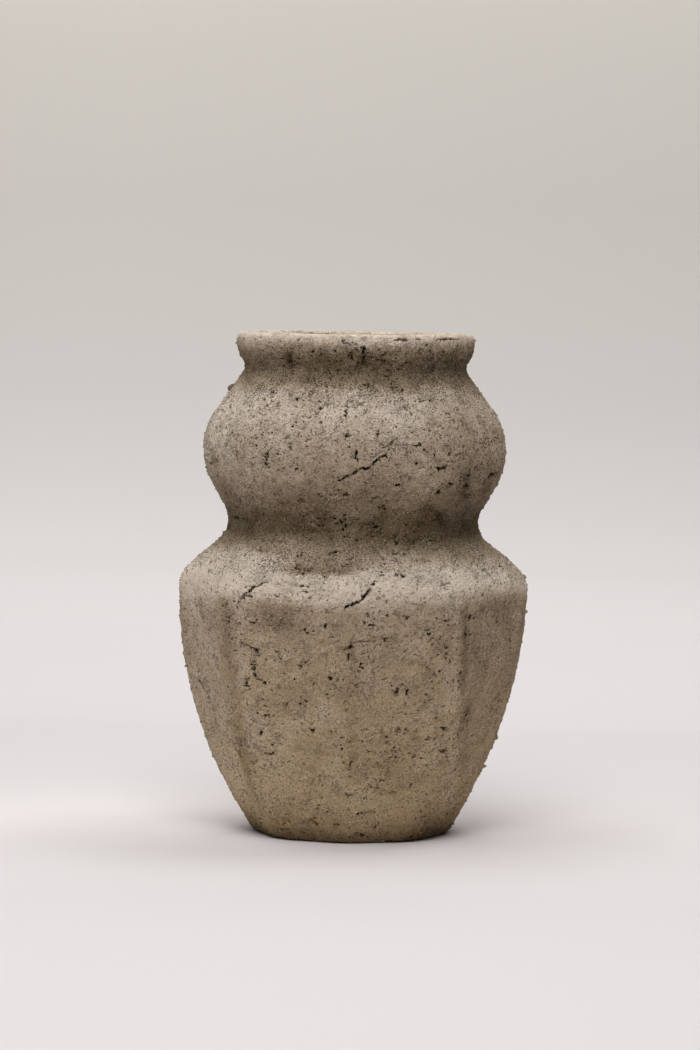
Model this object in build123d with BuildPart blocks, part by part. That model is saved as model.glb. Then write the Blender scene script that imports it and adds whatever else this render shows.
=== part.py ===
"""Urn vase: a terracotta vessel with eight soft facets, under a rough stony coat, lined inside.

The vessel stands on the XY plane with its axis on Z. One of its eight soft corners points to -Y, the front.
The two beside it stand a little nearer to it than in a regular octagon.
Lengths are in millimetres.
"""

import math
import os

from build123d import *

os.makedirs("parts", exist_ok=True)

# Rises between the places where the straight runs of the side would meet, from the table up
flank_rise = 63.4
shoulder_rise = 91.3
waist_rise = 29.1
belly_rise = 48.6
neck_rise = 46.3
collar_rise = 11.8
lip_rise = 9.5

# Reach of the eight corner ridges from the axis at those places, and on the table
foot_reach = 58.0
flank_reach = 98.7
shoulder_reach = 104.9
waist_reach = 70.2
belly_reach = 98.0
neck_reach = 64.7
rim_reach = 70.4

# Bends between the straight runs, each limited to this share of the runs that it joins
flank_bend = 275.0
shoulder_bend = 19.0
waist_bend = 14.6
belly_bend = 41.3
neck_bend = 6.7
collar_bend = 17.7
bend_room_share = 0.99

# Tightest bend of the inner layers
least_bend = 0.5

# How round the section is: 0 is a sharp octagon, 1 is a circle
foot_round_share = 0.55
flank_round_share = 0.38
shoulder_round_share = 0.40
waist_round_share = 0.60
belly_round_share = 0.58
neck_round_share = 0.92
rim_round_share = 0.97

# Layers of the wall, measured square to it
coat_thickness = 3.0
clay_thickness = 7.5
lining_thickness = 1.0

# Floor and foot of the clay pot
floor_thickness = 12.0
floor_corner_radius = 14.0
foot_ring_width = 11.0
foot_recess_depth = 2.0
foot_edge_radius = 1.0

# Lip: the coat rolls over the outer part of it, and the lining covers the inner part
coat_lip_width = 6.0
coat_lip_radius = 3.4
coat_end_chamfer = 1.4
lip_gap = 0.3

# Hem of the coat, just clear of the table
hem_height = 1.0
hem_radius = 1.6

# Coarse grit bedded in the coat
grit_length = 3.6
grit_width = 2.8
grit_depth = 1.8
grit_proud = 1.1
grit_taper_angle = 14

# One crumb of the coat's own mortar, stuck on the slope between the belly and the neck
crumb_length = 6.0
crumb_width = 5.0
crumb_depth = 1.6
crumb_proud = 2.2
crumb_taper_angle = 18

# One overrun serves all the cuts
overrun = 5.0

# Places on the side: share of a turn from +X, share of the total height
crumb_place_shares = [(0.5, 0.887)]
front_grit_place_shares = [
    (0.498, 0.353), (0.503, 0.596), (0.003, 0.517), (0.998, 0.447), (0.002, 0.191), (0.996, 0.134),
    (0.001, 0.553), (0.800, 0.465), (0.822, 0.477), (0.854, 0.473),
]

# Hidden half: grains spread by equal turns and climbs, each a share of the half turn or of the band
back_grit_count = 8
back_turn_share = 0.618
back_climb_share = 0.382
back_band_shares = (0.10, 0.90)

# Angular outline of a grain: shares of its length and of its width
grain_outline_shares = [(-0.50, -0.15), (-0.10, -0.50), (0.45, -0.35), (0.50, 0.20), (0.05, 0.50)]

# Straight steps that each bend of the inner layers is made of, from the flank up to the collar
inner_bend_step_counts = [2, 1, 2, 2, 1, 1]

# Angles from +X that four of the facets look to, with the other four opposite to them
facet_angles = [27, 72, 108, 153]
facet_count = 2 * len(facet_angles)
corner_factor = 1 / math.cos(math.pi / facet_count)

# Flat cuts that each layer is pared with for each facet
outer_cut_count = 3
inner_cut_count = 2

rises = [flank_rise, shoulder_rise, waist_rise, belly_rise, neck_rise, collar_rise, lip_rise]
corner_heights = [sum(rises[:number]) for number in range(len(rises) + 1)]
total_height = corner_heights[-1]
ridge_reaches = [foot_reach, flank_reach, shoulder_reach, waist_reach, belly_reach, neck_reach, rim_reach,
                 rim_reach]
round_shares = [foot_round_share, flank_round_share, shoulder_round_share, waist_round_share,
                belly_round_share, neck_round_share, rim_round_share, rim_round_share]
side_bends = [flank_bend, shoulder_bend, waist_bend, belly_bend, neck_bend, collar_bend]


def cut_reach(reach, roundness, lean):
    """Distance from the axis to a flat cut that touches the rounded octagon, at an angle from its corner."""
    sharpness = (1 - roundness) * corner_factor
    return reach * (sharpness * math.cos(lean) + roundness) / (sharpness + roundness)


def fitted_bends(runs):
    """The bends between the straight runs of the side line, each limited by the runs that it joins."""
    turns = [math.radians(run.get_angle(next_run)) for run, next_run in zip(runs, runs[1:])]
    lengths = [0, *[bend * math.tan(turn / 2) for bend, turn in zip(side_bends, turns)], 0]
    free_lengths = [*[run.length for run in runs[:-1]], runs[-1].length - coat_lip_radius]
    rooms = [
        min(1, bend_room_share * free / (low + high))
        for free, low, high in zip(free_lengths, lengths, lengths[1:])
    ]
    return [bend * min(room, next_room) for bend, room, next_room in zip(side_bends, rooms, rooms[1:])]


def moved_in(reaches, depth):
    """Corners and bends of the side line, moved inward by depth, square to its straight runs."""
    corners = [Vector(reach, height) for reach, height in zip(reaches, corner_heights)]
    runs = [end - start for start, end in zip(corners, corners[1:])]
    fitted = fitted_bends(runs)
    runs = [run.normalized() for run in runs]
    squares = [Vector(-run.Y, run.X) for run in runs]
    moved = [corners[0] - Vector(depth / runs[0].Y, 0)]
    bends = []
    for corner, run, next_run, square, next_square, bend in zip(
        corners[1:], runs, runs[1:], squares, squares[1:], fitted
    ):
        moved.append(corner + (square + next_square) * (depth / (1 + square.dot(next_square))))
        bends.append(max(bend - math.copysign(depth, run.cross(next_run).Z), least_bend))
    moved.append(corners[-1] - Vector(depth / runs[-1].Y, 0))
    return moved, bends


def stepped(corners, bends, steps):
    """The points of a side line whose bends are each made of a few straight steps."""
    with BuildLine() as side:
        FilletPolyline(*corners, radius=bends)
    arcs = side.edges().filter_by(GeomType.CIRCLE).sort_by(Axis.Y)
    points = [corners[0], corners[-1]]
    for number, (arc, count) in enumerate(zip(arcs, steps)):
        first = 0 if number else 1
        points += [arc @ (step / count) for step in range(first, count + 1)]
    return sorted(points, key=lambda point: point.Y)


def slab(lean, depth, low, high, low_radius, high_radius, bend_steps):
    """A slab between two opposite cuts at an angle from the corner, with the side line for its outline."""
    reaches = [cut_reach(reach, roundness, lean) for reach, roundness in zip(ridge_reaches, round_shares)]
    corners, bends = moved_in(reaches, depth)
    points = stepped(corners, bends, bend_steps) if bend_steps else corners
    spread = shoulder_reach + overrun
    with BuildPart() as between_cuts:
        with BuildSketch(Plane.XZ.offset(-spread)) as outline:
            with BuildLine():
                if bend_steps:
                    Polyline(*points)
                else:
                    FilletPolyline(*points, radius=bends)
                mirror(about=Plane.YZ)
                Line(points[0], (-points[0].X, points[0].Y))
                Line(points[-1], (-points[-1].X, points[-1].Y))
            make_face()
            with Locations((0, low)):
                Rectangle(2 * spread, high - low, align=(Align.CENTER, Align.MIN), mode=Mode.INTERSECT)
            if low_radius:
                fillet(outline.vertices().group_by(Axis.Y)[0], radius=low_radius)
            if high_radius:
                fillet(outline.vertices().group_by(Axis.Y)[-1], radius=high_radius)
        extrude(amount=2 * spread)
    return between_cuts.part


def wall_form(cut_count, depth, low, high, low_radius=0, high_radius=0, bend_steps=None):
    """The solid inside a face of the wall at a depth: facets first, then the cuts that round the corners."""
    half_facet = math.pi / facet_count
    between = 2 * half_facet / cut_count
    leans = [half_facet - between * min(number, cut_count - number) for number in range(cut_count)]
    slabs = [slab(lean, depth, low, high, low_radius, high_radius, bend_steps) for lean in leans]
    with BuildPart() as form:
        add(slabs[0], rotation=(0, 0, facet_angles[0]))
        for number, cut in enumerate(slabs):
            for facet, next_facet in zip(facet_angles, [*facet_angles[1:], facet_angles[0] + 180]):
                turn = facet + (next_facet - facet) * number / cut_count
                add(cut, rotation=(0, 0, turn), mode=Mode.INTERSECT)
    return form.part


def grain_planes(form, place_shares, depth):
    """Planes at a depth under the face of a form, looking square out of it, one for each place."""
    planes = []
    for turn_share, height_share in place_shares:
        turn = 2 * math.pi * turn_share
        ray = Axis((0, 0, total_height * height_share), (math.cos(turn), math.sin(turn), 0))
        point, square = max(
            form.find_intersection_points(ray), key=lambda hit: (hit[0] - ray.position).dot(ray.direction)
        )
        planes.append(Plane(origin=point - square * depth, x_dir=square.cross(Vector(0, 0, 1)), z_dir=square))
    return planes


def grain_outline(length, width):
    """The outline of one angular grain, drawn on the current plane."""
    Polygon(*[(length * along, width * across) for along, across in grain_outline_shares], align=None)


coat_form = wall_form(outer_cut_count, 0, hem_height, total_height, hem_radius, coat_lip_radius)

clay_top = total_height - coat_thickness
clay_form = wall_form(
    inner_cut_count, coat_thickness, 0, clay_top, foot_edge_radius, 0, inner_bend_step_counts
)

clay_depth = coat_thickness + clay_thickness
clay_cavity = wall_form(
    inner_cut_count, clay_depth, floor_thickness, clay_top, floor_corner_radius, 0, inner_bend_step_counts
)

lining_depth = clay_depth + lining_thickness
lining_cavity = wall_form(
    inner_cut_count, lining_depth, floor_thickness + lining_thickness, clay_top + lining_thickness,
    floor_corner_radius - lining_thickness, 0, inner_bend_step_counts,
)

coat_end_reach = rim_reach - coat_lip_width

# Clay pot: hollow, with a ring foot
with BuildPart() as terracotta_body:
    add(clay_form)
    add(clay_cavity, mode=Mode.SUBTRACT)
    with BuildSketch():
        Circle(foot_reach - coat_thickness - foot_ring_width)
    extrude(amount=foot_recess_depth, mode=Mode.SUBTRACT)
terracotta_body.part.label = "terracotta_body"
export_step(terracotta_body.part, "parts/terracotta_body.step")

# Lining: a thin skin over the whole inside, turned out over the inner part of the lip
with BuildPart() as inner_lining:
    add(clay_cavity)
    with BuildSketch(Plane.XY.offset(clay_top)):
        Circle(coat_end_reach - lip_gap)
    extrude(amount=lining_thickness)
    add(lining_cavity, mode=Mode.SUBTRACT)
inner_lining.part.label = "inner_lining"
export_step(inner_lining.part, "parts/inner_lining.step")

# Coarse grit: the grains that show, and others spread round the back
band_low_share, band_high_share = back_band_shares
back_grit_place_shares = [
    (
        number * back_turn_share % 1 / 2,
        band_low_share + (band_high_share - band_low_share) * (number * back_climb_share % 1),
    )
    for number in range(1, back_grit_count + 1)
]
with BuildPart() as coarse_grit:
    for plane in grain_planes(coat_form, front_grit_place_shares + back_grit_place_shares, grit_depth):
        with BuildSketch(plane):
            grain_outline(grit_length, grit_width)
        extrude(amount=grit_depth + grit_proud, taper=grit_taper_angle)
coarse_grit.part.label = "coarse_grit"
export_step(coarse_grit.part, "parts/coarse_grit.step")

with BuildPart() as crumb:
    for plane in grain_planes(coat_form, crumb_place_shares, crumb_depth):
        with BuildSketch(plane):
            grain_outline(crumb_length, crumb_width)
        extrude(amount=crumb_depth + crumb_proud, taper=crumb_taper_angle)
crumb.part.label = "crumb"
export_step(crumb.part, "parts/crumb.step")

# Stone coat: rolled over the lip and open at the mouth, with a bed for each grain
with BuildPart() as stone_coat:
    add(coat_form)
    add(clay_form, mode=Mode.SUBTRACT)
    with BuildSketch(Plane.XY.offset(clay_top)):
        Circle(coat_end_reach)
    extrude(amount=coat_thickness + overrun, mode=Mode.SUBTRACT)
    top_face = stone_coat.faces().sort_by(Axis.Z)[-1]
    chamfer(top_face.inner_wires()[0].edges(), length=coat_end_chamfer)
    add([coarse_grit.part, crumb.part], mode=Mode.SUBTRACT)
stone_coat.part.label = "stone_coat"
export_step(stone_coat.part, "parts/stone_coat.step")
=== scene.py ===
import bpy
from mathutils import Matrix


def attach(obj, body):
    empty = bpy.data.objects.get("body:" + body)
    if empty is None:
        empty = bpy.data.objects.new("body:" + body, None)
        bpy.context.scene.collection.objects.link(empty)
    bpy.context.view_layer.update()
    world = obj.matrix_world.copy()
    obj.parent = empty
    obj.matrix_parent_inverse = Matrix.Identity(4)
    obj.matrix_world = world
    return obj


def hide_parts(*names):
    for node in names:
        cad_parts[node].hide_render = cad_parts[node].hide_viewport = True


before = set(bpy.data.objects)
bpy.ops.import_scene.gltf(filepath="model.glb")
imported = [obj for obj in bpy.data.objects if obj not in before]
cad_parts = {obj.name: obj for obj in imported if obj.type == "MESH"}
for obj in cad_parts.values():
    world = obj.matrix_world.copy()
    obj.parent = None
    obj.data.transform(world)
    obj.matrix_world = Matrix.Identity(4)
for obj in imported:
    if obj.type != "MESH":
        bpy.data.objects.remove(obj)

"""Urn vase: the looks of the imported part, and the camera, floor and light of the photograph.

Lengths are in metres in the part's own frame: +Z up along the vase's axis, -Y towards the camera.
"""

import logging
import math
from dataclasses import dataclass, field
from enum import Enum
from itertools import combinations
from typing import Iterable

import bmesh
import bpy
import numpy as np
from mathutils import Matrix, Vector
from mathutils.bvhtree import BVHTree

MM = 0.001
BODY = "root"

logging.basicConfig(level=logging.INFO, format="%(message)s")
log = logging.getLogger("urn_vase")

Colour = tuple[float, float, float, float]
Span = tuple[float, float]
Table = tuple[tuple[float, float], ...]
Socket = bpy.types.NodeSocket


class Node(Enum):
    """The CAD nodes that this script dresses."""

    CLAY = "terracotta_body"
    COAT = "stone_coat"
    LINING = "inner_lining"
    GRIT = "coarse_grit"
    CRUMB = "crumb"


class Slot(Enum):
    """The record's material slots."""

    CLAY = "terracotta"
    COAT = "stone_mortar"
    LINING = "lining_glaze"
    GRIT = "grit_stone"
    CRUMB = "mortar_crumb"


class Group(Enum):
    """Shader node groups that several materials share."""

    GRAIN = "grain height"
    MOTTLE = "mottle mask"
    SPECKS = "speck mask"
    TEARS = "tear mask"


def srgb(red: float, green: float, blue: float) -> Colour:
    """Turns a colour of 0 to 255 per channel into the linear colour that shaders take.

    Args:
        red: Red as it looks on screen.
        green: Green as it looks on screen.
        blue: Blue as it looks on screen.

    Returns:
        The linear colour with an alpha of 1.
    """

    def linear(value: float) -> float:
        """Turns one channel into its linear share."""
        share = value / 255
        return share / 12.92 if share <= 0.04045 else ((share + 0.055) / 1.055) ** 2.4

    return (linear(red), linear(green), linear(blue), 1.0)


@dataclass
class SolidNoise:
    """Smooth noise in space, read from a seeded lattice that repeats."""

    seed: int
    cells: int = 48
    lattice: np.ndarray = field(init=False)

    def __post_init__(self) -> None:
        """Fills the lattice with values from -1 to 1."""
        shape = (self.cells, self.cells, self.cells)
        self.lattice = np.random.default_rng(self.seed).uniform(-1, 1, shape)

    def at(self, points: np.ndarray, feature: tuple[float, float, float] | float) -> np.ndarray:
        """Reads the noise at points.

        Args:
            points: Places as an array whose last axis is X, Y, Z.
            feature: Size of one cell in metres, the same in all ways or one per axis.

        Returns:
            Values from -1 to 1, one for each point.
        """
        scaled = points / np.asarray(feature)
        cell = np.floor(scaled).astype(int)
        part = scaled - cell
        part = part * part * (3 - 2 * part)
        total = np.zeros(points.shape[:-1])
        for corner in range(8):
            step = np.array([corner & 1, corner >> 1 & 1, corner >> 2 & 1])
            weight = np.prod(np.where(step, part, 1 - part), axis=-1)
            index = (cell + step) % self.cells
            total += weight * self.lattice[index[..., 0], index[..., 1], index[..., 2]]
        return total


def seat(thing: bpy.types.Object, material: bpy.types.Material, slot: Slot, *replaced: Node) -> None:
    """Gives a piece its material and body, and reports it.

    Args:
        thing: The piece.
        material: Its material.
        slot: Its slot in the record; not used.
        *replaced: The CAD nodes that it stands for.
    """
    thing.data.materials.append(material)
    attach(thing, BODY)
    if replaced:
        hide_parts(*(node.value for node in replaced))
    log.info("%s: %d faces", thing.name, len(thing.data.polygons))


@dataclass(frozen=True)
class Layer:
    """One layer of noise over a skin: its seed, the size of its lumps in millimetres, and its strength."""

    seed: int
    size: float | tuple[float, float, float]
    strength: float = 1.0

    def at(self, places: np.ndarray) -> np.ndarray:
        """Reads the layer at places."""
        return SolidNoise(self.seed).at(places, np.multiply(self.size, MM)) * self.strength


@dataclass
class PhotoCamera:
    """The photograph's camera, worked out from the vase's outline in the picture."""

    distance: float = 2.51
    height: float = 0.339
    azimuth: float = 2.5
    pitch: float = 3.52
    yaw: float = 0.046
    roll: float = 0.78
    focal_px: float = 4186.0
    picture_width: int = 700
    picture_height: int = 1050
    sensor_mm: float = 36.0

    def matrix(self) -> Matrix:
        """Works out where the camera stands and which way it looks.

        Returns:
            The camera's world matrix.
        """
        turn = Matrix.Rotation(math.radians(self.azimuth), 4, "Z")
        place = turn @ Matrix.Translation((0, -self.distance, self.height))
        aim = Matrix.Rotation(math.radians(self.yaw), 4, "Z") @ Matrix.Rotation(
            math.radians(90 - self.pitch), 4, "X"
        )
        return place @ aim @ Matrix.Rotation(math.radians(self.roll), 4, "Z")

    def build(self) -> bpy.types.Object:
        """Makes the camera and sets it as the scene's.

        Returns:
            The camera object.
        """
        data = bpy.data.cameras.new("photo_camera")
        data.sensor_fit = "AUTO"
        data.sensor_width = self.sensor_mm
        data.lens = self.focal_px / self.picture_height * self.sensor_mm
        data.clip_start = 0.1
        data.clip_end = 30.0
        camera = bpy.data.objects.new("photo_camera", data)
        camera.matrix_world = self.matrix()
        bpy.context.scene.collection.objects.link(camera)
        bpy.context.scene.camera = camera
        return camera

    def ray(self, pixel: tuple[float, float]) -> tuple[Vector, Vector]:
        """Works out the line of sight through a pixel of the photograph.

        Args:
            pixel: X and Y in the 700 by 1050 picture.

        Returns:
            The camera's place and the unit direction of sight.
        """
        matrix = self.matrix()
        across = pixel[0] - self.picture_width / 2
        up = self.picture_height / 2 - pixel[1]
        way = matrix.to_3x3() @ Vector((across, up, -self.focal_px))
        return matrix.translation, way.normalized()


class SolidFace:
    """A CAD node's faces, ready to be hit by lines."""

    def __init__(self, node: Node) -> None:
        """Reads the node's mesh.

        Args:
            node: The CAD node to read.
        """
        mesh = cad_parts[node.value].data
        points = [vertex.co.copy() for vertex in mesh.vertices]
        self.tree = BVHTree.FromPolygons(points, [tuple(face.vertices) for face in mesh.polygons])

    def hit(self, start: Vector, way: Vector) -> Vector | None:
        """Finds where a line from a start first meets the node, or None if it misses."""
        return self.tree.ray_cast(start, way)[0]

    def seen_at(self, camera: PhotoCamera, pixel: tuple[float, float]) -> Vector:
        """Finds the place on the node that a pixel shows, or the nearest one beside the outline.

        Args:
            camera: The photograph's camera.
            pixel: X and Y in the photograph.

        Returns:
            The place on the node's face.
        """
        start, way = camera.ray(pixel)
        place = self.hit(start, way)
        if place is None:
            place = self.tree.find_nearest(start + way * camera.distance)[0]
        return place


def add_object(name: str, mesh: bpy.types.Mesh) -> bpy.types.Object:
    """Makes an object of a mesh and links it to the scene.

    Args:
        name: The new object's name.
        mesh: Its mesh.

    Returns:
        The object.
    """
    thing = bpy.data.objects.new(name, mesh)
    bpy.context.scene.collection.objects.link(thing)
    return thing


def smooth_mesh(name: str, places: np.ndarray, faces: np.ndarray) -> bpy.types.Object:
    """Makes a smooth shaded mesh from faces with as many corners each.

    Args:
        name: The new object's name.
        places: Array of points whose last axis is X, Y, Z.
        faces: One row of point numbers for each face.

    Returns:
        The mesh object.
    """
    mesh = bpy.data.meshes.new(name)
    mesh.vertices.add(places.size // 3)
    mesh.vertices.foreach_set("co", places.reshape(-1).astype(np.float32))
    mesh.loops.add(faces.size)
    mesh.loops.foreach_set("vertex_index", faces.reshape(-1).astype(np.int32))
    mesh.polygons.add(len(faces))
    mesh.polygons.foreach_set("loop_start", np.arange(0, faces.size, faces.shape[1], dtype=np.int32))
    mesh.polygons.foreach_set("use_smooth", np.ones(len(faces), dtype=bool))
    mesh.update(calc_edges=True)
    mesh.validate()
    return add_object(name, mesh)


def grid_mesh(name: str, places: np.ndarray, close_rows: bool = True) -> bpy.types.Object:
    """Makes a mesh from rings of places.

    Args:
        name: The new object's name.
        places: Array of rings, points in a ring, and X, Y, Z.
        close_rows: Whether each ring joins up with its own start.

    Returns:
        The mesh object.
    """
    rings, count = places.shape[:2]
    across = np.arange(count if close_rows else count - 1)
    first = (np.arange(rings - 1)[:, None] * count + across[None, :]).ravel()
    second = (np.arange(rings - 1)[:, None] * count + (across[None, :] + 1) % count).ravel()
    return smooth_mesh(name, places, np.stack([first, second, second + count, first + count], axis=1))


def turned(reach: np.ndarray, height: np.ndarray, turns: np.ndarray) -> np.ndarray:
    """Gives the places of a reach and a height at each turn round the axis."""
    return np.stack([reach * np.cos(turns), reach * np.sin(turns), height], axis=-1)


def grid_normals(places: np.ndarray) -> np.ndarray:
    """Works out the outward way at each place of a set of rings.

    Args:
        places: Array of rings, points in a ring, and X, Y, Z.

    Returns:
        Unit vectors in the same layout.
    """
    around = np.roll(places, -1, axis=1) - np.roll(places, 1, axis=1)
    along = np.gradient(places, axis=0)
    square = np.cross(around, along)
    return square / np.maximum(np.linalg.norm(square, axis=-1, keepdims=True), 1e-12)


def blurred(values: np.ndarray, reach: int, axis: int, wraps: bool) -> np.ndarray:
    """Smooths values along one axis with a bell-shaped window.

    Args:
        values: The array to smooth.
        reach: Half the window, in samples.
        axis: The axis to smooth along.
        wraps: Whether the axis joins up with its own start.

    Returns:
        The smoothed array.
    """
    if reach < 1:
        return values
    offsets = np.arange(-reach, reach + 1)
    weights = np.exp(-0.5 * (offsets / (reach / 2)) ** 2)
    weights /= weights.sum()
    total = np.zeros_like(values)
    count = values.shape[axis]
    for offset, weight in zip(offsets, weights):
        index = np.arange(count) + offset
        index = index % count if wraps else np.clip(index, 0, count - 1)
        total += weight * np.take(values, index, axis=axis)
    return total


def set_mask(mesh: bpy.types.Mesh, name: str, values: np.ndarray) -> None:
    """Stores one value per vertex under a name that a material can read."""
    attribute = mesh.attributes.new(name, "FLOAT", "POINT")
    attribute.data.foreach_set("value", values.reshape(-1).astype(np.float32))


class NodeTree:
    """A small helper that adds shader nodes and links them."""

    def __init__(self, tree: bpy.types.NodeTree) -> None:
        """Keeps the material's or the group's node tree."""
        self.tree = tree

    def put(self, node: bpy.types.Node, inputs: dict[str | int, object]) -> None:
        """Sets a node's inputs to values, or links sockets to them.

        Args:
            node: The node.
            inputs: A value or an output socket for each input's name or number.
        """
        for key, value in inputs.items():
            if isinstance(value, Socket):
                self.tree.links.new(value, node.inputs[key])
            else:
                node.inputs[key].default_value = value

    def add(self, kind: str, inputs: dict[str | int, object] | None = None, **settings: object) -> bpy.types.Node:
        """Adds a node.

        Args:
            kind: The node's type name, such as ShaderNodeMix.
            inputs: A value or an output socket for some of its inputs.
            **settings: Node properties to set.

        Returns:
            The new node.
        """
        node = self.tree.nodes.new(kind)
        for key, value in settings.items():
            setattr(node, key, value)
        self.put(node, inputs or {})
        return node

    def place(self) -> Socket:
        """Adds a node that gives places in the part's own frame, and gives its socket."""
        return self.add("ShaderNodeTexCoord").outputs["Object"]

    def noise(self, place: Socket, feature: float, detail: float, rough: float) -> Socket:
        """Adds a noise texture whose largest features have a size in metres, and gives its value's socket."""
        inputs = {"Vector": place, "Scale": 1 / feature, "Detail": detail, "Roughness": rough}
        return self.add("ShaderNodeTexNoise", inputs).outputs["Fac"]

    def span(self, value: Socket, low: float, high: float, start: float = 0.0, end: float = 1.0) -> Socket:
        """Maps a value from low and high to start and end, keeps it inside, and gives the result's socket."""
        inputs = dict(enumerate((value, low, high, start, end)))
        return self.add("ShaderNodeMapRange", inputs).outputs[0]

    def math(self, operation: str, first: Socket, second: Socket | float) -> Socket:
        """Adds a sum of two values by its name, such as MULTIPLY, and gives the result's socket."""
        return self.add("ShaderNodeMath", {0: first, 1: second}, operation=operation).outputs[0]

    def mix(self, share: Socket, under: Socket | Colour, over: Socket | Colour, blend: str = "MIX") -> Socket:
        """Mixes a colour over another one by a mask, and gives the colour's socket."""
        inputs = {0: share, 6: under, 7: over}
        return self.add("ShaderNodeMix", inputs, data_type="RGBA", blend_type=blend).outputs[2]

    def mask(self, name: str) -> Socket:
        """Adds a node that reads a value stored on the mesh by its name, and gives its socket."""
        return self.add("ShaderNodeAttribute", attribute_name=name).outputs["Fac"]

    def shown(self) -> Socket:
        """Adds a light path that tells what is seen from what only lights.

        Returns:
            The socket that puts out 1 for rays of sight, also in gloss or through glass, and 0 for others.
        """
        path = self.add("ShaderNodeLightPath")
        seen = self.math("MAXIMUM", path.outputs["Is Camera Ray"], path.outputs["Is Glossy Ray"])
        return self.math("MAXIMUM", seen, path.outputs["Is Transmission Ray"])

    def group(self, group: Group, **values: float) -> Socket:
        """Adds a shared group with values for its inputs, read in the part's own frame, and gives its socket."""
        inputs = {name.capitalize(): value for name, value in values.items()} | {"Place": self.place()}
        return self.add("ShaderNodeGroup", inputs, node_tree=bpy.data.node_groups[group.value]).outputs[0]


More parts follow.
